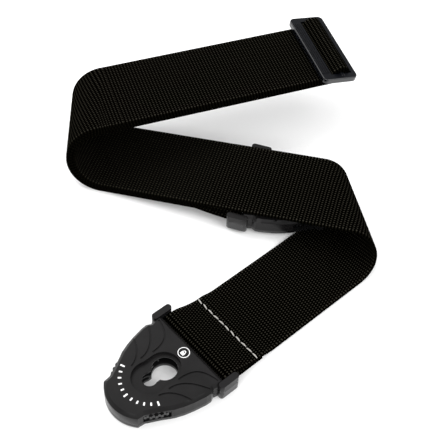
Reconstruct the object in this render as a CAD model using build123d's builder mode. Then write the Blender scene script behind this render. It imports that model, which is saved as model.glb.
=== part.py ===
from build123d import *
import math
import os

# Guitar strap, folded for storage. Units are millimetres, +Z up, the floor is Z = 0.
# One long 50 mm webbing carries a twist-lock end at each end. It lies in three runs:
# the front run on the floor, the middle run above it and the back run on top.
# A three-bar slider on the back run adjusts the loop that holds the second lock.

os.makedirs("parts", exist_ok=True)

# Webbing
strap_width = 50.0
ply = 1.7
ply_pitch = 2.0
half_width = strap_width / 2

# Where the first lock's bar stands, and which way the front run goes from it
bar_a_x = -11.2
bar_a_y = -94.07
front_heading = 40.4

# The two folds: place along the webbing, skew of the crease, radius and turn
right_fold_at = 135.0
right_skew = 29.1
right_radius = 11.2
right_turn = 187.85
left_fold_at = 329.0
left_skew = 18.2
left_radius = 14.7
left_turn = 188.2
bend_steps = 8

# Stitches across the end loop
stitch_count = 11
stitch_pitch = 4.5
stitch_at = 20.5
stitch_length = 3.4
stitch_width = 0.9
stitch_height = 0.35
stitch_lift = 0.01

# Places along the webbing, counted from the first lock's bar
loop_length = 28.0
slider_at = 503.5
lock_b_bar_gap = 57.0
lock_b_loop_length = 24.0
lock_b_bar_depth = 6.9

# Lock: a keyhole lock for the guitar's strap button, 11 mm thick
lock_thickness = 11.0
back_plate = 2.2
front_plate_low = 7.9
wall = 1.6
button_radius = 4.0
entry_radius = 7.0
entry_offset = 10.0
recess_depth = 2.0
recess_seat_radius = 9.8
recess_entry_radius = 9.2
recess_entry_offset = 9.4
neck_half_width = 3.6
tip_radius = 24.4
lock_edge = 28.4
cover_chamfer = 1.8
bar_offset = 33.0
bar_height = 5.5
bar_radius = 2.0
ear_inner = 25.5
ear_outer = 29.3
ear_start = 24.0
ear_end = 36.5
ear_round = 1.8
bar_half_length = 27.8

# One side of a cover, from the tip's shoulder to the straight end
side_points = [(-18.7, 14.0), (-14.8, 14.4), (-7.7, 18.0), (-0.9, 21.9), (4, 23.8), (9, 25.2),
               (16, 26.6), (19, 26.8), (21.5, 25.6), (ear_start, 26.2), (lock_edge, 26.6)]

# Leaf grooves in the front cover, for one side
leaf_grooves = [
    [(10.6, 10.6), (15.6, 11.0), (21.0, 13.5), (24.0, 18.2), (25.6, 24.2)],
    [(3.4, 11.6), (9.4, 13.1), (14.2, 17.0), (17.4, 21.6), (21.0, 28.0)],
    [(-3.0, 11.2), (0.8, 12.7), (4.0, 15.6), (6.6, 19.9), (9.0, 27.5)],
]
groove_depth = 0.6
groove_width = 1.0

# Screws from the back cover into the front cover's bosses
screw_places = [(12, 22.6), (12, -22.6), (24.4, 21.4), (24.4, -21.4)]
screw_head_radius = 1.7
screw_head_height = 1.0
screw_shank_radius = 0.9
screw_tip = 6.8
boss_radius = 1.9

# Dial ring and jaws inside the lock
dial_radius = 20.6
dial_play = 0.5
dial_bore = 13.5
dial_low = 5.0
dial_high = 7.6
dial_gap = 31.0
dial_turn = 45.0
dial_teeth = 44
tooth_radius = 0.8
jaw_low = 2.5
jaw_high = 4.7
jaw_travel = 1.6
jaw_gap = 3.4
jaw_reach = 18.6
jaw_middle = 3.0
jaw_width = 9.8
jaw_seat_play = 0.6
jaw_entry_play = 0.4
rib_width = 1.2
rib_length = 7.0
rib_at = 15.5
rib_play = 0.7
pin_circle = 16.5
pin_radius = 1.0
pin_play = 0.15

# Click spring: an arc leaf between two posts
spring_radius = 12.65
spring_from = 130
spring_to = 230
spring_leaf = 0.5
spring_play = 0.2
post_radius = 0.7
post_angle = 7

# Slider
slider_axis_height = 5.6
slider_tilt = 8.0
slider_thickness = 3.4
slider_half_width = 30.0
rail_width = 4.4
grip_bar = (-14.2, -7.6)
far_bar = (6.4, 9.6)
centre_bar_radius = 2.0
frame_corner = 3.5
frame_edge = 0.8
ridge_count = 4
ridge_pitch = 1.4
ridge_width = 0.7
ridge_height = 0.5
ridge_margin = 6.0

# Loops of webbing round a bar
loop_inner = 2.1
loop_outer = loop_inner + ply
wrap_inner = 4.1
wrap_outer = wrap_inner + ply

# End loop at the first lock: where it comes down to the floor, the lap and the lap's end
loop_floor_at = 9.0
loop_lap_at = 19.0
lap_end_gap = 4.0

# Plies at the slider: distances back from the slider's axis, and heights above it
back_end_gap = 16.0
knee_gap = 7.0
top_knee_outer = 7.3
top_knee_inner = 6.4
top_leaves_outer = (2.6, wrap_outer - 0.6)
top_leaves_inner = (3.4, 2.3)
sewn_top_rise = 0.5
mouth_knee = 1.1
mouth_play = 0.05
mouth_seam = 0.02


def tan(degrees):
    return math.tan(math.radians(degrees))


def cos(degrees):
    return math.cos(math.radians(degrees))


def sin(degrees):
    return math.sin(math.radians(degrees))


def save(piece, name):
    """Label a finished piece and write its STEP file."""
    piece.label = name
    export_step(piece, "parts/" + name + ".step")


# ---------------------------------------------------------------- the folded webbing

class Fold:
    """An oblique fold of a flat run, and the run that follows it.

    Each run is a plane: X along the webbing, Y across it, Z its normal.
    """

    def __init__(self, run, at, skew, radius, turn, side):
        self.skew = skew
        self.radius = radius
        self.turn = turn
        self.side = side
        self.developed = radius * math.radians(turn)
        along = run.x_dir
        across = run.y_dir
        self.normal = run.z_dir
        self.crease = across * cos(skew) + along * sin(skew)
        self.forward = along * cos(skew) - across * sin(skew)
        self.start = run.from_local_coords(Vector(at, 0, 0)) - self.forward * (self.developed / 2)
        self.enters_at = at - self.developed / 2 / cos(skew)
        self.leaves_at = at + self.developed / 2 / cos(skew)
        end_forward = self.forward * cos(turn) + self.normal * (side * sin(turn))
        end_along = end_forward * cos(skew) + self.crease * sin(skew)
        end_normal = self.normal_at(turn)
        origin = self.point(turn, 0) - end_along * self.leaves_at
        self.run = Plane(origin=origin, x_dir=end_along, z_dir=end_normal)

    def normal_at(self, angle):
        return self.normal * cos(angle) - self.forward * (self.side * sin(angle))

    def point(self, angle, offset):
        """Middle of the webbing after turning by angle, offset along its normal."""
        unrolled = self.radius * math.radians(angle)
        shift = (unrolled - self.developed / 2) * tan(self.skew)
        place = self.start + self.forward * (self.radius * sin(angle))
        place = place + self.normal * (self.side * self.radius * (1 - cos(angle)))
        return place + self.crease * shift + self.normal_at(angle) * offset

    def section(self, angle, offset):
        normal = self.normal_at(angle)
        return Plane(origin=self.point(angle, offset), x_dir=self.crease,
                     z_dir=self.crease.cross(normal))


def bent_ply(fold, offset, name):
    """One ply of webbing round a fold, as flat facets between its rulings."""
    with BuildPart() as bend:
        for step in range(bend_steps + 1):
            with BuildSketch(fold.section(fold.turn * step / bend_steps, offset)):
                Rectangle(strap_width / cos(fold.skew), ply)
        loft(ruled=True)
    save(bend.part, name)


def flat_ply(run, offset, start, start_skew, end, end_skew, name):
    """One flat ply between two lines across the webbing, each with its own skew."""
    start_lean = half_width * tan(start_skew)
    end_lean = half_width * tan(end_skew)
    with BuildPart() as flat:
        with BuildSketch(run.offset(offset - ply / 2)):
            with BuildLine():
                Polyline((start - start_lean, -half_width), (end - end_lean, -half_width),
                         (end + end_lean, half_width), (start + start_lean, half_width), close=True)
            make_face()
        extrude(amount=ply)
    save(flat.part, name)


def profile_plane(run):
    """The lengthwise section of a run: X along the webbing, Y along its normal."""
    return Plane(origin=run.origin, x_dir=run.x_dir, z_dir=-run.y_dir)


front_run = Plane(origin=(bar_a_x, bar_a_y, ply / 2), x_dir=(cos(front_heading), sin(front_heading), 0),
                  z_dir=(0, 0, 1))
right_fold = Fold(front_run, right_fold_at, right_skew, right_radius, right_turn, 1)
middle_run = right_fold.run
left_fold = Fold(middle_run, left_fold_at, left_skew, left_radius, left_turn, -1)
back_run = left_fold.run

# The single ply of the front run and the right bend
flat_ply(front_run, 0, loop_length, 0, right_fold.enters_at, right_skew, "front_run")
bent_ply(right_fold, 0, "right_bend")

# The sewn end loop round the first lock's bar, lying down to the floor behind it
with BuildPart() as end_loop:
    with BuildSketch(profile_plane(front_run)):
        bar_level = bar_height - ply / 2
        floor_level = -ply / 2
        with Locations((0, bar_level)):
            Circle(loop_outer)
        with BuildLine():
            Polyline((0, bar_level + loop_outer), (loop_lap_at, floor_level + 2 * ply),
                     (loop_length - lap_end_gap, floor_level + 2 * ply), (loop_length, ply / 2),
                     (loop_length, floor_level), (loop_floor_at, floor_level),
                     (0, bar_level - loop_outer), close=True)
        make_face()
        with Locations((0, bar_level)):
            Circle(loop_inner, mode=Mode.SUBTRACT)
    extrude(amount=half_width, both=True)
save(end_loop.part, "end_loop")

# The row of white stitches across the end loop
with BuildPart() as end_stitches:
    with BuildSketch(front_run.offset(2 * ply - ply / 2 + stitch_lift)):
        with Locations((stitch_at, 0)):
            with GridLocations(1, stitch_pitch, 1, stitch_count):
                SlotOverall(stitch_length, stitch_width, rotation=90)
    extrude(amount=stitch_height)
save(end_stitches.part, "end_stitches")

# Three plies lie together in the middle run, the left bend and the back run.
# The lower ones end in the loop round the second lock's bar.
lock_b_bar_at = right_fold.leaves_at + lock_b_bar_gap
lock_b_plies_from = lock_b_bar_at + lock_b_loop_length
flat_ply(middle_run, 0, right_fold.leaves_at, right_skew, left_fold.enters_at, left_skew,
         "middle_run_top")
flat_ply(middle_run, ply_pitch, lock_b_plies_from, 0, left_fold.enters_at, left_skew,
         "middle_run_centre")
flat_ply(middle_run, 2 * ply_pitch, lock_b_plies_from, 0, left_fold.enters_at, left_skew,
         "middle_run_bottom")
for depth, name in ((0, "left_bend_inner"), (ply_pitch, "left_bend_centre"),
                    (2 * ply_pitch, "left_bend_outer")):
    bent_ply(left_fold, depth, name)
back_end = slider_at - back_end_gap
for depth, name in ((0, "back_run_bottom"), (ply_pitch, "back_run_centre"),
                    (2 * ply_pitch, "back_run_top")):
    flat_ply(back_run, depth, left_fold.leaves_at, left_skew, back_end, 0, name)

with BuildPart() as lock_loop:
    with BuildSketch(profile_plane(middle_run)):
        with Locations((lock_b_bar_at, lock_b_bar_depth)):
            Circle(loop_outer)
        with BuildLine():
            Polyline((lock_b_bar_at, lock_b_bar_depth - loop_outer),
                     (lock_b_plies_from, ply_pitch - ply / 2),
                     (lock_b_plies_from, 2 * ply_pitch + ply / 2),
                     (lock_b_bar_at, lock_b_bar_depth + loop_outer), close=True)
        make_face()
        with Locations((lock_b_bar_at, lock_b_bar_depth)):
            Circle(loop_inner, mode=Mode.SUBTRACT)
    extrude(amount=half_width, both=True)
save(lock_loop.part, "second_lock_loop")

# ---------------------------------------------------------------- the slider

# The webbing turns round the slider's centre bar outside the sewn loop of its own end.
with BuildPart() as slider_turn:
    with BuildSketch(profile_plane(back_run)):
        with Locations((slider_at, slider_axis_height)):
            Circle(wrap_outer)
        with BuildLine():
            Polyline((slider_at, slider_axis_height - wrap_outer), (slider_at - knee_gap, -ply / 2),
                     (back_end, -ply / 2), (back_end, ply / 2), (slider_at - knee_gap, ply / 2),
                     (slider_at, slider_axis_height - wrap_inner), close=True)
        make_face()
        with BuildLine():
            Polyline((slider_at - top_leaves_outer[0], slider_axis_height + top_leaves_outer[1]),
                     (slider_at - top_knee_outer, 2 * ply_pitch + ply / 2),
                     (back_end, 2 * ply_pitch + ply / 2),
                     (back_end, 2 * ply_pitch - ply / 2),
                     (slider_at - top_knee_inner, 2 * ply_pitch - ply / 2),
                     (slider_at - top_leaves_inner[0], slider_axis_height + top_leaves_inner[1]), close=True)
        make_face()
        with Locations((slider_at, slider_axis_height)):
            Circle(wrap_inner, mode=Mode.SUBTRACT)
        with BuildLine():
            Polyline((slider_at, slider_axis_height - wrap_inner + mouth_seam),
                     (slider_at - knee_gap, mouth_knee),
                     (slider_at - top_knee_inner, 2 * ply_pitch - ply / 2 - mouth_play),
                     (slider_at - top_leaves_inner[0] - mouth_play,
                      slider_axis_height + top_leaves_inner[1] - mouth_play), close=True)
        make_face(mode=Mode.SUBTRACT)
    extrude(amount=half_width, both=True)
save(slider_turn.part, "slider_turn")

with BuildPart() as sewn_loop:
    with BuildSketch(profile_plane(back_run)):
        with Locations((slider_at, slider_axis_height)):
            Circle(loop_outer)
        with BuildLine():
            Polyline((slider_at, slider_axis_height - loop_outer),
                     (slider_at - knee_gap, ply_pitch - ply / 2),
                     (back_end, ply_pitch - ply / 2), (back_end, ply_pitch + ply / 2),
                     (slider_at - knee_gap, ply_pitch + ply / 2), (slider_at, slider_axis_height + sewn_top_rise),
                     close=True)
        make_face()
        with Locations((slider_at, slider_axis_height)):
            Circle(loop_inner, mode=Mode.SUBTRACT)
    extrude(amount=half_width, both=True)
save(sewn_loop.part, "slider_sewn_loop")

slider_origin = back_run.from_local_coords(Vector(slider_at, 0, slider_axis_height))
slider_x = back_run.x_dir * cos(slider_tilt) - back_run.z_dir * sin(slider_tilt)
slider_plane = Plane(origin=slider_origin, x_dir=slider_x, z_dir=slider_x.cross(back_run.y_dir))
slider_length = far_bar[1] - grip_bar[0]
slider_middle = (far_bar[1] + grip_bar[0]) / 2
window_length = far_bar[0] - grip_bar[1]
window_middle = (far_bar[0] + grip_bar[1]) / 2
with BuildPart() as slider_frame:
    with BuildSketch(slider_plane.offset(-slider_thickness / 2)):
        with Locations((slider_middle, 0)):
            RectangleRounded(slider_length, 2 * slider_half_width, frame_corner)
        with Locations((window_middle, 0)):
            Rectangle(window_length, 2 * (slider_half_width - rail_width), mode=Mode.SUBTRACT)
    extrude(amount=slider_thickness)
    upward = Axis(origin=slider_origin, direction=slider_plane.z_dir)
    fillet(slider_frame.faces().sort_by(upward)[-1].outer_wire().edges(), frame_edge)
    with BuildSketch(Plane(origin=slider_origin, x_dir=slider_plane.x_dir, z_dir=slider_plane.y_dir)):
        Circle(centre_bar_radius)
    extrude(amount=slider_half_width - rail_width / 2, both=True)
    grip_middle = (grip_bar[0] + grip_bar[1]) / 2
    with BuildSketch(slider_plane.offset(slider_thickness / 2)):
        with Locations((grip_middle, 0)):
            with GridLocations(ridge_pitch, 1, ridge_count, 1):
                Rectangle(ridge_width, 2 * (slider_half_width - ridge_margin))
    extrude(amount=ridge_height)
save(slider_frame.part, "slider_frame")

# ---------------------------------------------------------------- the two locks

def lock_outline():
    """Outline of a cover: round tip, swelling sides and a straight end."""
    shoulder_x, shoulder_y = side_points[0]
    end_x, end_y = side_points[-1]
    with BuildLine() as outline:
        ThreePointArc((shoulder_x, shoulder_y), (-tip_radius, 0), (shoulder_x, -shoulder_y))
        Polyline([(x, -y) for x, y in side_points])
        Polyline(side_points)
        Line((end_x, end_y), (end_x, -end_y))
    return outline.line


def keyhole():
    """Round seat for the button joined by a neck to the larger entry hole."""
    Circle(button_radius, mode=Mode.SUBTRACT)
    with Locations((entry_offset / 2, 0)):
        Rectangle(entry_offset, 2 * neck_half_width, mode=Mode.SUBTRACT)
    with Locations((entry_offset, 0)):
        Circle(entry_radius, mode=Mode.SUBTRACT)


def ears(mode=Mode.ADD):
    """The two ears that hold the strap bar, seen from the front."""
    for side in (-1, 1):
        with Locations(((ear_start + ear_end) / 2, side * (ear_inner + ear_outer) / 2)):
            RectangleRounded(ear_end - ear_start, ear_outer - ear_inner, ear_round, mode=mode)


def bar_plane(base):
    """The strap bar's middle section: Z along the bar."""
    return Plane(origin=base.from_local_coords(Vector(bar_offset, 0, bar_height)),
                 x_dir=base.x_dir, z_dir=base.y_dir)


cover_outline = lock_outline()


def pin_slot_point(start, progress):
    """Middle of a cam slot: it widens by the jaw's travel over the dial's turn."""
    angle = start - dial_turn * progress
    reach = pin_circle + jaw_travel * progress
    return reach * cos(angle), reach * sin(angle)


rib_reach = jaw_width / 2 + rib_play + rib_width / 2
rib_places = (jaw_middle - rib_reach, jaw_middle + rib_reach)
cam_paths = [ThreePointArc(pin_slot_point(start, 0), pin_slot_point(start, 0.5),
                           pin_slot_point(start, 1)) for start in (90, -90)]


def make_lock(prefix, base):
    with BuildPart() as back_cover:
        with BuildSketch(base):
            add(cover_outline)
            make_face()
            keyhole()
        extrude(amount=back_plate)
        with BuildSketch(base):
            ears()
        extrude(amount=bar_height)
        with BuildSketch(bar_plane(base)):
            Circle(bar_radius)
        extrude(amount=bar_half_length, both=True, mode=Mode.SUBTRACT)
        with BuildSketch(base.offset(back_plate)):
            for side in (-1, 1):
                with Locations([(rib_x, side * rib_at) for rib_x in rib_places]):
                    Rectangle(rib_width, rib_length)
        extrude(amount=jaw_high - back_plate)
        with BuildSketch(base.offset(back_plate)):
            for angle in (spring_from - post_angle, spring_to + post_angle):
                with Locations((spring_radius * cos(angle), spring_radius * sin(angle))):
                    Circle(post_radius)
        extrude(amount=dial_high - back_plate)
        with BuildSketch(base):
            with Locations(screw_places):
                Circle(screw_head_radius)
        extrude(amount=screw_head_height, mode=Mode.SUBTRACT)
        with BuildSketch(base):
            with Locations(screw_places):
                Circle(screw_shank_radius)
        extrude(amount=back_plate, mode=Mode.SUBTRACT)
    save(back_cover.part, prefix + "_back_cover")

    with BuildPart() as front_cover:
        with BuildSketch(base.offset(front_plate_low)):
            add(cover_outline)
            make_face()
            keyhole()
        extrude(amount=lock_thickness - front_plate_low)
        front = Axis(origin=base.origin, direction=base.z_dir)
        chamfer(front_cover.faces().sort_by(front)[-1].outer_wire().edges(), cover_chamfer)
        with BuildSketch(base.offset(lock_thickness - recess_depth)):
            Circle(recess_seat_radius)
            with Locations((recess_entry_offset / 2, 0)):
                Rectangle(recess_entry_offset, 2 * recess_entry_radius)
            with Locations((recess_entry_offset, 0)):
                Circle(recess_entry_radius)
        extrude(amount=recess_depth, mode=Mode.SUBTRACT)
        with BuildSketch(base.offset(back_plate)):
            add(cover_outline)
            make_face()
            offset(amount=-wall, mode=Mode.SUBTRACT)
            Circle(dial_radius + dial_play, mode=Mode.SUBTRACT)
            ears(Mode.SUBTRACT)
        extrude(amount=front_plate_low - back_plate)
        with BuildSketch(base.offset(back_plate)):
            with Locations(screw_places):
                Circle(boss_radius)
        extrude(amount=front_plate_low - back_plate)
        with BuildSketch(base.offset(bar_height)):
            ears()
        extrude(amount=lock_thickness - bar_height)
        with BuildSketch(bar_plane(base)):
            Circle(bar_radius)
        extrude(amount=bar_half_length, both=True, mode=Mode.SUBTRACT)
        with BuildSketch(base.offset(back_plate)):
            with Locations(screw_places):
                Circle(screw_shank_radius)
        extrude(amount=screw_tip - back_plate, mode=Mode.SUBTRACT)
        for points in leaf_grooves:
            for side in (-1, 1):
                with BuildSketch(base.offset(lock_thickness - groove_depth)):
                    with BuildLine():
                        Spline([(x, side * y) for x, y in points])
                    trace(line_width=groove_width)
                extrude(amount=groove_depth, mode=Mode.SUBTRACT)
    save(front_cover.part, prefix + "_front_cover")

    with BuildPart() as dial:
        with BuildSketch(base.offset(dial_low)):
            Circle(dial_radius)
            Circle(dial_bore, mode=Mode.SUBTRACT)
            with PolarLocations(dial_radius, dial_teeth):
                Circle(tooth_radius, mode=Mode.SUBTRACT)
            with BuildLine():
                reach = 2 * dial_radius
                Polyline((0, 0), (reach * cos(dial_gap), -reach * sin(dial_gap)),
                         (reach * cos(dial_gap), reach * sin(dial_gap)), close=True)
            make_face(mode=Mode.SUBTRACT)
            for path in cam_paths:
                SlotArc(path, 2 * (pin_radius + pin_play), mode=Mode.SUBTRACT)
        extrude(amount=dial_high - dial_low)
    save(dial.part, prefix + "_dial")

    for side, name in ((1, "_jaw_left"), (-1, "_jaw_right")):
        with BuildPart() as jaw:
            with BuildSketch(base.offset(jaw_low)):
                with Locations((jaw_middle, side * (jaw_gap + jaw_reach) / 2)):
                    Rectangle(jaw_width, jaw_reach - jaw_gap)
                Circle(button_radius + jaw_seat_play, mode=Mode.SUBTRACT)
                with Locations((entry_offset, 0)):
                    Circle(entry_radius + jaw_entry_play, mode=Mode.SUBTRACT)
            extrude(amount=jaw_high - jaw_low)
            with BuildSketch(base.offset(jaw_high)):
                with Locations((0, side * pin_circle)):
                    Circle(pin_radius)
            extrude(amount=dial_high - jaw_high)
        save(jaw.part, prefix + name)

    with BuildPart() as spring:
        with BuildSketch(base.offset(dial_low + spring_play)):
            with BuildLine():
                CenterArc((0, 0), spring_radius, spring_from, spring_to - spring_from)
            trace(line_width=spring_leaf)
        extrude(amount=dial_high - dial_low - 2 * spring_play)
    save(spring.part, prefix + "_click_spring")

    with BuildPart() as bar:
        with BuildSketch(bar_plane(base)):
            Circle(bar_radius)
        extrude(amount=bar_half_length, both=True)
    save(bar.part, prefix + "_strap_bar")

    with BuildPart() as screws:
        with BuildSketch(base):
            with Locations(screw_places):
                Circle(screw_head_radius)
        extrude(amount=screw_head_height)
        with BuildSketch(base):
            with Locations(screw_places):
                Circle(screw_shank_radius)
        extrude(amount=screw_tip)
    save(screws.part, prefix + "_screws")


lock_a_base = Plane(origin=front_run.from_local_coords(Vector(-bar_offset, 0, -ply / 2)),
                    x_dir=front_run.x_dir, z_dir=(0, 0, 1))
make_lock("lock_a", lock_a_base)

lock_b_bar = middle_run.from_local_coords(Vector(lock_b_bar_at, 0, lock_b_bar_depth))
lock_b_y = middle_run.y_dir * -1
lock_b_x = lock_b_y.cross(Vector(0, 0, 1)).normalized()
lock_b_z = lock_b_x.cross(lock_b_y)
lock_b_base = Plane(origin=lock_b_bar - lock_b_x * bar_offset - lock_b_z * bar_height,
                    x_dir=lock_b_x, z_dir=lock_b_z)
make_lock("lock_b", lock_b_base)

for name, place in (("lock A seat", lock_a_base.origin), ("lock B seat", lock_b_base.origin),
                    ("lock B bar", lock_b_bar), ("slider", slider_origin)):
    print(name, place)
for name, way in (("lock A x", lock_a_base.x_dir), ("lock A y", lock_a_base.y_dir),
                  ("lock B x", lock_b_base.x_dir), ("lock B y", lock_b_base.y_dir),
                  ("lock B z", lock_b_base.z_dir), ("slide", back_run.x_dir)):
    print(name, way)
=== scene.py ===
import math

import bpy
import numpy as np
from mathutils import Matrix, Vector


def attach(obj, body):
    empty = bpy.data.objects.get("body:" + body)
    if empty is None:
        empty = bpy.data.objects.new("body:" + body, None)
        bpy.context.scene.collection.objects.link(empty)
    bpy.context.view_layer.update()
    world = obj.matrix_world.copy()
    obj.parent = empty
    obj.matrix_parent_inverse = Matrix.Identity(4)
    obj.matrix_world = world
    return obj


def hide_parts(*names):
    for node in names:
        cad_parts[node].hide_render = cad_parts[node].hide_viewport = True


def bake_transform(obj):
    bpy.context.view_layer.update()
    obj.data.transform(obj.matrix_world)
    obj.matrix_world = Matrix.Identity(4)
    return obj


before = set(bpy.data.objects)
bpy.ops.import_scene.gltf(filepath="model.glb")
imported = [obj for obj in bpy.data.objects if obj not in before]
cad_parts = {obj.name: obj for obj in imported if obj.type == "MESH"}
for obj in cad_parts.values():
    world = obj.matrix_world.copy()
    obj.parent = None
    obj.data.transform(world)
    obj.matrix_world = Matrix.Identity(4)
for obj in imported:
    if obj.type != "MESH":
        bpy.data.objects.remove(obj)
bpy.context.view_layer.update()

# Driving dimensions of the strap, in metres and degrees, the same as the CAD's.
MM = 0.001
WIDTH = 50 * MM
PLY = 1.7 * MM
PLY_PITCH = 2.0 * MM
BAR_A = (-11.2 * MM, -94.07 * MM)
FRONT_HEADING = 40.4
RIGHT_FOLD = dict(at=135 * MM, skew=29.1, radius=11.2 * MM, turn=187.85, side=1)
LEFT_FOLD = dict(at=329 * MM, skew=18.2, radius=14.7 * MM, turn=188.2, side=-1)
SLIDER_AT = 503.5 * MM
SLIDER_AXIS = 5.6 * MM
LOCK_B_GAP = 57 * MM
LOCK_B_LOOP = 24 * MM
LOCK_B_DEPTH = 6.9 * MM
BAR_HEIGHT = 5.5 * MM
BAR_OFFSET = 33 * MM
LOCK_TOP = 11 * MM
LOOP_RADIUS = 2.1 * MM + PLY / 2
WRAP_RADIUS = 4.1 * MM + PLY / 2

# The weave: ribs across the webbing and the floats along each rib
RIB = 1.93 * MM
FLOAT_REPEAT = 1.48 * MM
RIB_RELIEF = 0.12 * MM
ROW_STEP = RIB / 4
LEAST_ROW_GAP = 0.3 * ROW_STEP
SELVEDGE = 24.2 * MM
BEADS_FROM = 23.6 * MM
UV_UNIT = 100 * MM

# The row of stitches across the end loop
STITCH_COUNT = 11
STITCH_PITCH = 4.5 * MM
STITCH_LENGTH = 3.8 * MM
STITCH_RADIUS = 0.42 * MM
STITCH_AT = 20.5 * MM

# Printed marks on the locks, in millimetres and degrees; half widths of marks in radians
MARK_COUNT = 11
MARK_FIRST = 114
MARK_STEP = 13.4
MARK_INNER = 14.4
MARK_OUTER = 16.2
MARK_LONG = 16.9
MARK_HALF_WIDTH = 0.028
MARK_RISE = 0.03 * MM
SIGN_AT = 22.9
SIGN_RING = (2.85, 3.25)
SIGN_SHACKLE = (0.6, 1.0)
SIGN_SHACKLE_STRETCH = 1.3
SIGN_BODY = (-1.7, 0.1, 1.2)

# Edges rounded on the CAD's pieces, and the floor
SLIDER_EDGE = 0.5 * MM
COVER_EDGE = 0.35 * MM
FLOOR_SIZE = 6.0
FLOOR_DROP = 0.2 * MM
WORLD_LIGHT = 0.98


def unit(v):
    return v / np.linalg.norm(v)


# ------------------------------------------------------------------ the strap's path

class Run:
    """A flat run of webbing: along, across and normal directions from an origin."""

    def __init__(self, origin, along, normal):
        self.origin = np.array(origin, float)
        self.along = np.array(along, float)
        self.normal = np.array(normal, float)
        self.across = np.cross(self.normal, self.along)

    def place(self, s, w, h):
        s, w, h = (np.asarray(v, float)[..., None] for v in (s, w, h))
        return self.origin + self.along * s + self.across * w + self.normal * h


class Fold:
    """An oblique fold of one run into the next."""

    def __init__(self, run, at, skew, radius, turn, side):
        self.radius, self.side = radius, side
        self.skew, self.turn = math.radians(skew), math.radians(turn)
        self.developed = radius * self.turn
        self.at = at
        c, s = math.cos(self.skew), math.sin(self.skew)
        self.crease = run.across * c + run.along * s
        self.forward = run.along * c - run.across * s
        self.normal = run.normal
        self.start = run.place(at, 0, 0) - self.forward * (self.developed / 2)
        self.leaves_at = at + self.developed / 2 / c
        end_forward = self.forward * math.cos(self.turn)
        end_forward = end_forward + self.normal * side * math.sin(self.turn)
        end_along = end_forward * c + self.crease * s
        origin = self.bend(np.array(self.turn), np.array(0.0), 0.0) - end_along * self.leaves_at
        self.run = Run(origin, end_along, self.normal_at(np.array(self.turn)))

    def normal_at(self, angle):
        angle = np.asarray(angle)[..., None]
        return self.normal * np.cos(angle) - self.forward * (self.side * np.sin(angle))

    def bend(self, angle, shift, h):
        a = np.asarray(angle)[..., None]
        place = self.start + self.forward * (self.radius * np.sin(a))
        place = place + self.normal * (self.side * self.radius * (1 - np.cos(a)))
        slide = (self.radius * a - self.developed / 2) * math.tan(self.skew)
        place = place + self.crease * (slide + np.asarray(shift)[..., None])
        return place + self.normal_at(angle) * h

    def turned(self, s, w):
        """How far past the start of the bend a point of the webbing lies."""
        return (s - self.at) * math.cos(self.skew) - w * math.sin(self.skew) + self.developed / 2

    def place(self, s, w, h):
        u = self.turned(s, w)
        shift = (s - self.at) * math.sin(self.skew) + w * math.cos(self.skew)
        shift = shift - (u - self.developed / 2) * math.tan(self.skew)
        return self.bend(u / self.radius, shift, h)


heading = math.radians(FRONT_HEADING)
front_run = Run((BAR_A[0], BAR_A[1], PLY / 2), (math.cos(heading), math.sin(heading), 0), (0, 0, 1))
right_fold = Fold(front_run, **RIGHT_FOLD)
middle_run = right_fold.run
left_fold = Fold(middle_run, **LEFT_FOLD)
back_run = left_fold.run


def strap_place(s, w, h):
    """A point of the main webbing at s along and w across, h off its middle."""
    s, w = np.broadcast_arrays(np.asarray(s, float), np.asarray(w, float))
    place = front_run.place(s, w, h)
    u = right_fold.turned(s, w)
    inside = (u > 0) & (u < right_fold.developed)
    place[inside] = right_fold.place(s[inside], w[inside], h)
    place[u >= right_fold.developed] = middle_run.place(s, w, h)[u >= right_fold.developed]
    v = left_fold.turned(s, w)
    inside = (v > 0) & (v < left_fold.developed)
    place[inside] = left_fold.place(s[inside], w[inside], h)
    place[v >= left_fold.developed] = back_run.place(s, w, h)[v >= left_fold.developed]
    return place


def even(points, step):
    """Points spaced evenly by step along a smooth line through the given ones."""
    p = np.array(points, float)
    ends = np.vstack([2 * p[0] - p[1], p, 2 * p[-1] - p[-2]])
    dense = []
    for i in range(1, len(ends) - 2):
        t = np.linspace(0, 1, 24, endpoint=False)[:, None]
        a, b, c, d = ends[i - 1], ends[i], ends[i + 1], ends[i + 2]
        dense.append(0.5 * (2 * b + (c - a) * t + (2 * a - 5 * b + 4 * c - d) * t ** 2
                            + (3 * b - a - 3 * c + d) * t ** 3))
    dense = np.vstack(dense + [p[-1:]])
    length = np.concatenate([[0], np.cumsum(np.linalg.norm(np.diff(dense, axis=0), axis=1))])
    count = max(2, int(round(length[-1] / step)) + 1)
    wanted = np.linspace(0, length[-1], count)
    return np.stack([np.interp(wanted, length, dense[:, k]) for k in range(2)], 1)


def arc(centre, radius, first, last, steps=9):
    angles = np.radians(np.linspace(first, last, steps))
    return [(centre[0] + radius * math.cos(a), centre[1] + radius * math.sin(a)) for a in angles]


# Crosswise samples of the webbing's section, from one selvedge to the other
ACROSS = np.concatenate([[-1, -0.992], np.linspace(-0.975, 0.975, 15), [0.992, 1]]) * WIDTH / 2
THICKNESS = np.concatenate([[0.35, 0.8], np.full(15, 1.0), [0.8, 0.35]]) * PLY / 2


def rows_of_strap(first, last, h):
    count = max(2, int(round(abs(last - first) / ROW_STEP)) + 1)
    stations = np.linspace(first, last, count)
    return [strap_place(np.full(len(ACROSS), s), ACROSS, h) for s in stations]


def rows_of_loop(run, points):
    return [run.place(np.full(len(ACROSS), x), ACROSS, np.full(len(ACROSS), z))
            for x, z in even(points, ROW_STEP)]


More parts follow.
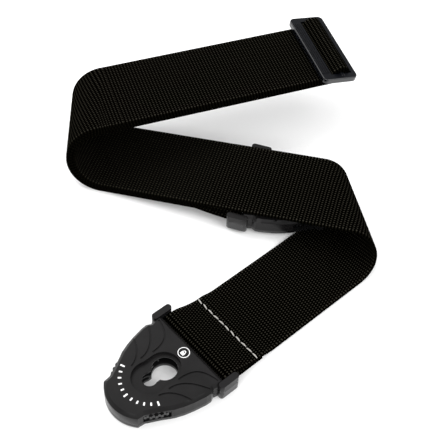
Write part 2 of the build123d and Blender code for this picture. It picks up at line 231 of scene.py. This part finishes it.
def mesh_object(name, vertices, faces, uv=None, smooth=True):
    mesh = bpy.data.meshes.new(name)
    mesh.from_pydata([tuple(v) for v in vertices], [], faces)
    if uv is not None:
        layer = mesh.uv_layers.new(name="strap")
        for loop in mesh.loops:
            layer.data[loop.index].uv = uv[loop.vertex_index]
    mesh.validate()
    mesh.polygons.foreach_set("use_smooth", [smooth] * len(mesh.polygons))
    mesh.update()
    thing = bpy.data.objects.new(name, mesh)
    bpy.context.scene.collection.objects.link(thing)
    return thing


def webbing(name, rows, start=0.0):
    """A closed band of webbing through rows of middle points, ribbed on both faces.

    start is where its ribs and weave begin, in metres along it, so that the pieces differ.
    """
    middle = np.array(rows)
    keep = [0]
    for i in range(1, len(middle)):
        if np.linalg.norm(middle[i] - middle[keep[-1]], axis=1).mean() > LEAST_ROW_GAP:
            keep.append(i)
    middle = middle[keep]
    along = np.gradient(middle, axis=0)
    across = np.gradient(middle, axis=1)
    normal = np.cross(along, across)
    normal /= np.linalg.norm(normal, axis=2)[..., None]
    centre = middle[:, len(ACROSS) // 2]
    travel = np.concatenate([[0], np.cumsum(np.linalg.norm(np.diff(centre, axis=0), axis=1))])
    travel = travel + start
    relief = RIB_RELIEF * (0.5 + 0.5 * np.cos(2 * math.pi * travel / RIB))
    half = THICKNESS[None, :] - relief[:, None] * (THICKNESS[None, :] > 0.9 * PLY / 2)
    top = middle + normal * half[..., None]
    under = middle - normal * half[..., None]
    ring = np.concatenate([top, under[:, ::-1]], axis=1)
    count, size = ring.shape[:2]
    vertices = ring.reshape(-1, 3)
    side_w = np.concatenate([ACROSS, ACROSS[::-1]])
    uv = [(travel[i] / UV_UNIT, side_w[j] / UV_UNIT) for i in range(count) for j in range(size)]
    faces = []
    for i in range(count - 1):
        for j in range(size):
            k = (j + 1) % size
            faces.append((i * size + j, i * size + k, (i + 1) * size + k, (i + 1) * size + j))
    faces.append(tuple(reversed(range(size))))
    faces.append(tuple((count - 1) * size + j for j in range(size)))
    return mesh_object(name, vertices, faces, uv)


# ------------------------------------------------------------------ materials

def new_material(name, base, roughness):
    material = bpy.data.materials.new(name)
    material.use_nodes = True
    shader = material.node_tree.nodes["Principled BSDF"]
    shader.inputs["Base Color"].default_value = (*base, 1)
    shader.inputs["Roughness"].default_value = roughness
    return material, material.node_tree, shader


def math_node(tree, kind, a, b=None):
    node = tree.nodes.new("ShaderNodeMath")
    node.operation = kind
    for i, value in enumerate((a, b)):
        if value is None:
            continue
        if isinstance(value, (int, float)):
            node.inputs[i].default_value = value
        else:
            tree.links.new(value, node.inputs[i])
    return node.outputs[0]


def ramp(tree, value, stops):
    node = tree.nodes.new("ShaderNodeValToRGB")
    node.color_ramp.elements[0].position = stops[0][0]
    node.color_ramp.elements[0].color = (*stops[0][1], 1)
    node.color_ramp.elements[1].position = stops[-1][0]
    node.color_ramp.elements[1].color = (*stops[-1][1], 1)
    for position, colour in stops[1:-1]:
        node.color_ramp.elements.new(position).color = (*colour, 1)
    tree.links.new(value, node.inputs[0])
    return node.outputs[0]


def noise(tree, coordinates, scale, detail=2.0):
    node = tree.nodes.new("ShaderNodeTexNoise")
    node.inputs["Scale"].default_value = scale
    node.inputs["Detail"].default_value = detail
    tree.links.new(coordinates, node.inputs["Vector"])
    return node.outputs["Fac"]


def bump(tree, shader, height, distance, strength=1.0):
    node = tree.nodes.new("ShaderNodeBump")
    node.inputs["Distance"].default_value = distance
    node.inputs["Strength"].default_value = strength
    tree.links.new(height, node.inputs["Height"])
    tree.links.new(node.outputs[0], shader.inputs["Normal"])


def webbing_material():
    """Black polypropylene webbing: ribs across, floats in brick order,
    soft ribs on the selvedges and a row of beads inside each. The colour follows the weave's height:
    crowns are painted lighter as painted highlights, grooves near black as painted shade."""
    material, tree, shader = new_material("webbing", (0.004, 0.004, 0.003), 0.85)
    coordinates = tree.nodes.new("ShaderNodeUVMap")
    coordinates.uv_map = "strap"
    split = tree.nodes.new("ShaderNodeSeparateXYZ")
    tree.links.new(coordinates.outputs[0], split.inputs[0])
    along, across = split.outputs[0], split.outputs[1]
    rib = RIB / UV_UNIT
    repeat = FLOAT_REPEAT / UV_UNIT
    row = math_node(tree, "DIVIDE", along, rib)
    row_number = math_node(tree, "FLOOR", row)
    odd = math_node(tree, "MODULO", row_number, 2.0)
    shift = math_node(tree, "MULTIPLY", math_node(tree, "ABSOLUTE", odd), 0.5)
    column = math_node(tree, "ADD", math_node(tree, "DIVIDE", across, repeat), shift)
    wave = math_node(tree, "SINE", math_node(tree, "MULTIPLY", column, 2 * math.pi))
    lift = math_node(tree, "MULTIPLY", math_node(tree, "ADD", wave, 1.0), 0.5)
    in_row = math_node(tree, "FRACT", row)
    crown = math_node(tree, "SINE", math_node(tree, "MULTIPLY", in_row, math.pi))
    height = math_node(tree, "MULTIPLY", lift, crown)
    speckle = noise(tree, coordinates.outputs[0], 420.0, 3.0)
    uneven = math_node(tree, "MULTIPLY", height, math_node(tree, "ADD", speckle, 0.35))
    # The selvedge ribs and the row of beads inside each selvedge get a painted highlight on their
    # crowns, a dotted light line, besides their bump.
    edge = math_node(tree, "GREATER_THAN", math_node(tree, "ABSOLUTE", across), SELVEDGE / UV_UNIT)
    face = math_node(tree, "MULTIPLY", uneven, math_node(tree, "SUBTRACT", 1.0, edge))
    selvedge = math_node(tree, "MULTIPLY", math_node(tree, "MULTIPLY", edge, crown), 0.5)
    uneven = math_node(tree, "ADD", face, selvedge)
    rim = math_node(tree, "GREATER_THAN", math_node(tree, "ABSOLUTE", across), BEADS_FROM / UV_UNIT)
    rim = math_node(tree, "MULTIPLY", rim, math_node(tree, "SUBTRACT", 1.0, edge))
    bead_and_glint = math_node(tree, "MULTIPLY", rim, math_node(tree, "POWER", crown, 2.0))
    uneven = math_node(tree, "MAXIMUM", uneven, math_node(tree, "MULTIPLY", bead_and_glint, 0.85))
    # Painted light: the ramp turns the weave's height into colour, so the crowns of the floats are
    # painted lighter as painted highlights and the grooves near black as painted shade; the specular
    # is set to nothing instead.
    colour = ramp(tree, uneven, [(0.2, (0.0001, 0.0001, 0.00005)), (0.45, (0.0016, 0.0014, 0.0008)),
                                 (0.7, (0.017, 0.0155, 0.0115)), (1.0, (0.055, 0.051, 0.041))])
    tree.links.new(colour, shader.inputs["Base Color"])
    shader.inputs["Specular IOR Level"].default_value = 0.0
    bump(tree, shader, uneven, 0.0004, 0.9)
    return material


def blend_value(tree, share, first, second):
    """A value that goes from first to second as share goes from 0 to 1."""
    node = math_node(tree, "MULTIPLY_ADD", share, second - first)
    node.node.inputs[2].default_value = first
    return node


def plastic_material(name, base, roughness, grain, shine, side_shine, side_roughness=0.16):
    """Moulded plastic: a grained satin face, polished side walls and uneven gloss."""
    material, tree, shader = new_material(name, base, roughness)
    coordinates = tree.nodes.new("ShaderNodeTexCoord")
    place = coordinates.outputs["Object"]
    split = tree.nodes.new("ShaderNodeSeparateXYZ")
    tree.links.new(coordinates.outputs["Normal"], split.inputs[0])
    upright = math_node(tree, "ABSOLUTE", split.outputs[2])
    side = math_node(tree, "SUBTRACT", 1.0, math_node(tree, "POWER", upright, 3.0))
    fine = noise(tree, place, 2600.0, 4.0)
    broad = noise(tree, place, 90.0, 3.0)
    dark = tuple(c * 0.75 for c in base)
    bright = tuple(c * 1.25 for c in base)
    tree.links.new(ramp(tree, broad, [(0.3, dark), (0.7, bright)]), shader.inputs["Base Color"])
    uneven = math_node(tree, "MULTIPLY", math_node(tree, "SUBTRACT", broad, 0.5), 0.14)
    rough = math_node(tree, "ADD", blend_value(tree, side, roughness, side_roughness), uneven)
    tree.links.new(rough, shader.inputs["Roughness"])
    tree.links.new(blend_value(tree, side, shine, side_shine), shader.inputs["Specular IOR Level"])
    bump(tree, shader, fine, grain)
    return material


def metal_material(name, base, roughness):
    """Plain steel with a little wear."""
    material, tree, shader = new_material(name, base, roughness)
    place = tree.nodes.new("ShaderNodeTexCoord").outputs["Object"]
    wear = noise(tree, place, 700.0, 5.0)
    shader.inputs["Metallic"].default_value = 1.0
    tree.links.new(ramp(tree, wear, [(0.3, tuple(c * 0.7 for c in base)), (0.7, base)]),
                   shader.inputs["Base Color"])
    bump(tree, shader, wear, 0.00003)
    return material


def thread_material():
    """Twisted white sewing thread."""
    material, tree, shader = new_material("stitch_thread", (0.42, 0.4, 0.37), 0.7)
    place = tree.nodes.new("ShaderNodeTexCoord").outputs["Object"]
    wave = tree.nodes.new("ShaderNodeTexWave")
    wave.inputs["Scale"].default_value = 900.0
    tree.links.new(place, wave.inputs["Vector"])
    colour = ramp(tree, wave.outputs["Fac"], [(0.0, (0.2, 0.19, 0.17)), (1.0, (0.6, 0.58, 0.54))])
    tree.links.new(colour, shader.inputs["Base Color"])
    bump(tree, shader, wave.outputs["Fac"], 0.00008)
    return material


def print_material():
    """White printing, slightly worn."""
    material, tree, shader = new_material("printed_white", (0.75, 0.75, 0.75), 0.5)
    place = tree.nodes.new("ShaderNodeTexCoord").outputs["Object"]
    wear = noise(tree, place, 1500.0, 3.0)
    tree.links.new(ramp(tree, wear, [(0.2, (0.45, 0.45, 0.45)), (0.5, (0.8, 0.8, 0.8))]),
                   shader.inputs["Base Color"])
    return material


cloth = webbing_material()
cover_plastic = plastic_material("cover_plastic", (0.008, 0.0076, 0.0078),
                                 0.45, 0.00002, 0.1, 0.14, 0.25)
back_plastic = plastic_material("back_plastic", (0.006, 0.006, 0.0063),
                                 0.5, 0.00002, 0.1, 0.45)
mechanism_plastic = plastic_material("mechanism_plastic", (0.004, 0.004, 0.0043),
                                     0.35, 0.00001, 0.15, 0.4)
slider_plastic = plastic_material("slider_plastic", (0.0030, 0.0034, 0.0048),
                                  0.35, 0.00001, 0.06, 0.8, 0.12)
steel = metal_material("steel", (0.42, 0.42, 0.43), 0.32)
thread = thread_material()
white_print = print_material()


def paint(thing, material):
    thing.data.materials.clear()
    thing.data.materials.append(material)


# ------------------------------------------------------------------ the webbing

left_skew = math.radians(LEFT_FOLD["skew"])
back_from = left_fold.leaves_at + WIDTH / 2 * math.tan(left_skew)
lock_b_bar = right_fold.leaves_at + LOCK_B_GAP
floor_mid = 0.0
bar_mid = BAR_HEIGHT - PLY / 2

end_loop = [(24 * MM, floor_mid), (16 * MM, floor_mid), (9 * MM, floor_mid + 0.1 * MM),
            (4 * MM, bar_mid - LOOP_RADIUS - 0.5 * MM)]
end_loop += arc((0, bar_mid), LOOP_RADIUS, 270, 90)
end_loop += [(5 * MM, bar_mid + LOOP_RADIUS - 0.7 * MM), (12 * MM, 3.9 * MM), (19 * MM, PLY_PITCH),
             (24 * MM, PLY_PITCH - 0.1 * MM), (28 * MM, 0.7 * MM), (32 * MM, 0)]
front_strap = webbing("strap_front", rows_of_loop(front_run, end_loop)
                      + rows_of_strap(32.5 * MM, back_from, 0))

loop_from = lock_b_bar + LOCK_B_LOOP
lock_loop = [(loop_from, 2 * PLY_PITCH), (lock_b_bar + 12 * MM, 7.4 * MM)]
lock_loop += arc((lock_b_bar, LOCK_B_DEPTH), LOOP_RADIUS, 90, 270)
lock_loop += [(lock_b_bar + 12 * MM, 2.9 * MM), (loop_from, PLY_PITCH)]
return_strap = webbing("strap_return", rows_of_strap(back_from, loop_from + 0.5 * MM, 2 * PLY_PITCH)
                       + rows_of_loop(middle_run, lock_loop)
                       + rows_of_strap(loop_from + 0.5 * MM, back_from, PLY_PITCH), 1.0)

slider_turn = [(back_from, 0), (SLIDER_AT - 30 * MM, 0), (SLIDER_AT - 14 * MM, 0),
               (SLIDER_AT - 6 * MM, 0.05 * MM)]
slider_turn += arc((SLIDER_AT, SLIDER_AXIS), WRAP_RADIUS, -90, 105, 12)
slider_turn += [(SLIDER_AT - 4.6 * MM, 8.2 * MM), (SLIDER_AT - 7.6 * MM, 4.6 * MM),
                (SLIDER_AT - 12 * MM, 2 * PLY_PITCH), (SLIDER_AT - 30 * MM, 2 * PLY_PITCH),
                (back_from, 2 * PLY_PITCH)]
back_strap = webbing("strap_back", rows_of_loop(back_run, slider_turn), 0.5)

sewn = [(back_from, PLY_PITCH), (SLIDER_AT - 24 * MM, PLY_PITCH),
        (SLIDER_AT - 6 * MM, PLY_PITCH + 0.1 * MM)]
sewn += arc((SLIDER_AT, SLIDER_AXIS), LOOP_RADIUS, -90, 140, 12)
sewn_strap = webbing("strap_sewn_end", rows_of_loop(back_run, sewn), 0.9)

slide_start = back_run.place(back_from + 6 * MM, 0, 0)
slide_end = back_run.place(SLIDER_AT - 20 * MM, 0, 0)
for strap in (front_strap, return_strap, back_strap, sewn_strap):
    paint(strap, cloth)
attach(front_strap, "webbing")
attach(return_strap, "webbing")
for strap in (back_strap, sewn_strap):
    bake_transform(strap)
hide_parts("end_loop", "front_run", "right_bend", "middle_run_top", "left_bend_inner")
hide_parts("middle_run_centre", "middle_run_bottom", "left_bend_centre",
            "left_bend_outer", "second_lock_loop")
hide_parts("back_run_bottom", "back_run_top", "slider_turn")
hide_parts("back_run_centre", "slider_sewn_loop")


# ------------------------------------------------------------------ the stitches

def stitch(length, radius):
    """One sagging stitch: a thin tube that dips into the cloth at both ends."""
    rings, sides = 9, 8
    vertices, faces = [], []
    for i in range(rings):
        t = i / (rings - 1)
        thin = radius * (0.25 + 0.75 * math.sin(math.pi * min(max(t, 0.04), 0.96)) ** 0.4)
        for j in range(sides):
            a = 2 * math.pi * j / sides
            vertices.append(((t - 0.5) * length, thin * math.cos(a),
                             thin * math.sin(a) + radius * (0.9 * math.sin(math.pi * t) - 0.3)))
    for i in range(rings - 1):
        for j in range(sides):
            k = (j + 1) % sides
            faces.append((i * sides + j, (i + 1) * sides + j, (i + 1) * sides + k, i * sides + k))
    faces.append(tuple(range(sides)))
    faces.append(tuple((rings - 1) * sides + j for j in reversed(range(sides))))
    return vertices, faces


def stitch_row(name, run, s, h, count, pitch, length, radius):
    vertices, faces = [], []
    for i in range(count):
        w = (i - (count - 1) / 2) * pitch
        lean = 0.16 * math.sin(5.1 * i) + 0.05
        local, local_faces = stitch(length, radius)
        base = len(vertices)
        for x, y, z in local:
            along = s + y + x * math.sin(lean)
            vertices.append(tuple(run.place(along, w + x * math.cos(lean), h + z)))
        faces += [tuple(base + k for k in face) for face in local_faces]
    return mesh_object(name, vertices, faces)


stitches = stitch_row("end_stitch_row", front_run, STITCH_AT, PLY_PITCH + PLY / 2 + 0.15 * MM,
                      STITCH_COUNT, STITCH_PITCH, STITCH_LENGTH, STITCH_RADIUS)
paint(stitches, thread)
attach(stitches, "webbing")
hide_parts("end_stitches")


# ------------------------------------------------------------------ the locks and the slider

def soften(node, width, angle=35.0):
    """Rounds the moulded edges of a CAD piece with modifiers."""
    weld = node.modifiers.new("weld", "WELD")
    weld.merge_threshold = 0.00001
    bevel = node.modifiers.new("edges", "BEVEL")
    bevel.width = width
    bevel.segments = 2
    bevel.limit_method = "ANGLE"
    bevel.angle_limit = math.radians(angle)
    bevel.harden_normals = False


finishes = {"_front_cover": cover_plastic, "_back_cover": back_plastic, "_dial": mechanism_plastic,
            "_jaw_left": mechanism_plastic, "_jaw_right": mechanism_plastic, "_click_spring": steel,
            "_strap_bar": steel, "_screws": steel}
for name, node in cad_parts.items():
    for ending, material in finishes.items():
        if name.endswith(ending):
            paint(node, material)
paint(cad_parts["slider_frame"], slider_plastic)
soften(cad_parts["slider_frame"], SLIDER_EDGE)
for lock in ("lock_a", "lock_b"):
    soften(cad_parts[lock + "_front_cover"], COVER_EDGE)
    soften(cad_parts[lock + "_back_cover"], COVER_EDGE)


class Lock:
    """A lock's own frame: X towards the strap bar, Y across, Z out of its front."""

    def __init__(self, bar, across, along):
        self.across = unit(across)
        self.along = unit(along)
        self.out = np.cross(self.along, self.across)
        self.seat = bar - self.along * BAR_OFFSET - self.out * BAR_HEIGHT

    def place(self, x, y, z):
        return self.seat + self.along * x + self.across * y + self.out * z


lock_a = Lock(front_run.place(0, 0, bar_mid), front_run.across, front_run.along)
bar_b = middle_run.place(lock_b_bar, 0, LOCK_B_DEPTH)
lock_b = Lock(bar_b, -middle_run.across, np.cross(-middle_run.across, (0, 0, 1.0)))


def printed(name, lock, body):
    """Generic printing: an arc of turn marks, and a ring with a small padlock sign."""
    vertices, faces = [], []
    rise = LOCK_TOP + MARK_RISE

    def flat(points):
        base = len(vertices)
        vertices.extend(tuple(lock.place(x * MM, y * MM, rise)) for x, y in points)
        faces.append(tuple(range(base, base + len(points))))

    for i in range(MARK_COUNT):
        angle = math.radians(MARK_FIRST + MARK_STEP * i)
        inner, outer = MARK_INNER, MARK_OUTER if i % 5 else MARK_LONG
        a, b = angle - MARK_HALF_WIDTH, angle + MARK_HALF_WIDTH
        flat([(r * math.cos(t), r * math.sin(t))
              for r, t in ((inner, a), (outer, a), (outer, b), (inner, b))])
    ring_in, ring_out = SIGN_RING
    for i in range(36):
        a, b = math.pi * i / 18, math.pi * (i + 1) / 18
        flat([(SIGN_AT + r * math.cos(t), r * math.sin(t))
              for r, t in ((ring_in, a), (ring_out, a), (ring_out, b), (ring_in, b))])
    low, high, half = SIGN_BODY
    flat([(SIGN_AT + high, -half), (SIGN_AT + high, half),
          (SIGN_AT + low, half), (SIGN_AT + low, -half)])
    shackle_in, shackle_out = SIGN_SHACKLE
    for i in range(10):
        a, b = math.pi * i / 10, math.pi * (i + 1) / 10
        flat([(SIGN_AT + high + r * math.sin(t) * SIGN_SHACKLE_STRETCH, -r * math.cos(t))
              for r, t in ((shackle_in, a), (shackle_out, a), (shackle_out, b), (shackle_in, b))])
    marks = mesh_object(name, vertices, faces, smooth=False)
    paint(marks, white_print)
    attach(marks, body)


printed("lock_a_printing", lock_a, "lock_a")
printed("lock_b_printing", lock_b, "lock_b")

# ------------------------------------------------------------------ floor, light, camera


def stage_plane(name, size, material):
    plane = mesh_object(name, [(-size, -size, 0), (size, -size, 0), (size, size, 0), (-size, size, 0)],
                        [(0, 1, 2, 3)], smooth=False)
    plane.location.z = -FLOOR_DROP
    paint(plane, material)


floor_material, _, floor_shader = new_material("floor", (0.93, 0.93, 0.93), 0.9)
floor_shader.inputs["Specular IOR Level"].default_value = 0.0
stage_plane("floor", FLOOR_SIZE, floor_material)

world = bpy.data.worlds.new("studio")
world.use_nodes = True
world.node_tree.nodes["Background"].inputs[0].default_value = (1, 1, 1, 1)
world.node_tree.nodes["Background"].inputs[1].default_value = WORLD_LIGHT
bpy.context.scene.world = world
bpy.context.scene.view_settings.view_transform = "Standard"


def point_at(thing, place, aim, roll=0.0):
    """Stands thing at place, looking along aim, rolled about it."""
    aim = Vector(aim)
    right = aim.cross(Vector((0, 0, 1))).normalized()
    up = right.cross(aim)
    turned_right = right * math.cos(roll) + up * math.sin(roll)
    turned_up = up * math.cos(roll) - right * math.sin(roll)
    matrix = Matrix((turned_right, turned_up, -aim)).transposed().to_4x4()
    matrix.translation = Vector(place)
    thing.matrix_world = matrix


def softbox(name, place, target, size, power):
    light = bpy.data.lights.new(name, "AREA")
    light.shape = "RECTANGLE"
    light.size, light.size_y = size
    light.energy = power
    lamp = bpy.data.objects.new(name, light)
    bpy.context.scene.collection.objects.link(lamp)
    aim = unit(np.array(target) - np.array(place))
    point_at(lamp, place, aim)


softbox("key", (-0.5, 0.5, 0.9), (0, 0, 0), (0.9, 0.6), 9)
softbox("rim", (-0.30, -0.80, 0.66), (0, 0, 0), (0.45, 0.22), 2.2)
softbox("fill", (0.7, -0.4, 0.8), (0, 0, 0), (0.7, 0.7), 5)

CAMERA_LENS = 76.33
CAMERA_AZIMUTH = 3.81
CAMERA_ELEVATION = 50.98
CAMERA_DISTANCE = 0.5404
CAMERA_TARGET = (0.0013, -0.0143, 0.015)
CAMERA_ROLL = 3.73

camera_data = bpy.data.cameras.new("camera")
camera_data.lens = CAMERA_LENS
camera_data.sensor_width = 36.0
camera_data.dof.use_dof = False
camera = bpy.data.objects.new("camera", camera_data)
bpy.context.scene.collection.objects.link(camera)
azimuth, elevation = math.radians(CAMERA_AZIMUTH), math.radians(CAMERA_ELEVATION)
look = np.array([math.sin(azimuth) * math.cos(elevation), math.cos(azimuth) * math.cos(elevation),
                 -math.sin(elevation)])
point_at(camera, np.array(CAMERA_TARGET) - look * CAMERA_DISTANCE, look, math.radians(CAMERA_ROLL))
bpy.context.scene.camera = camera
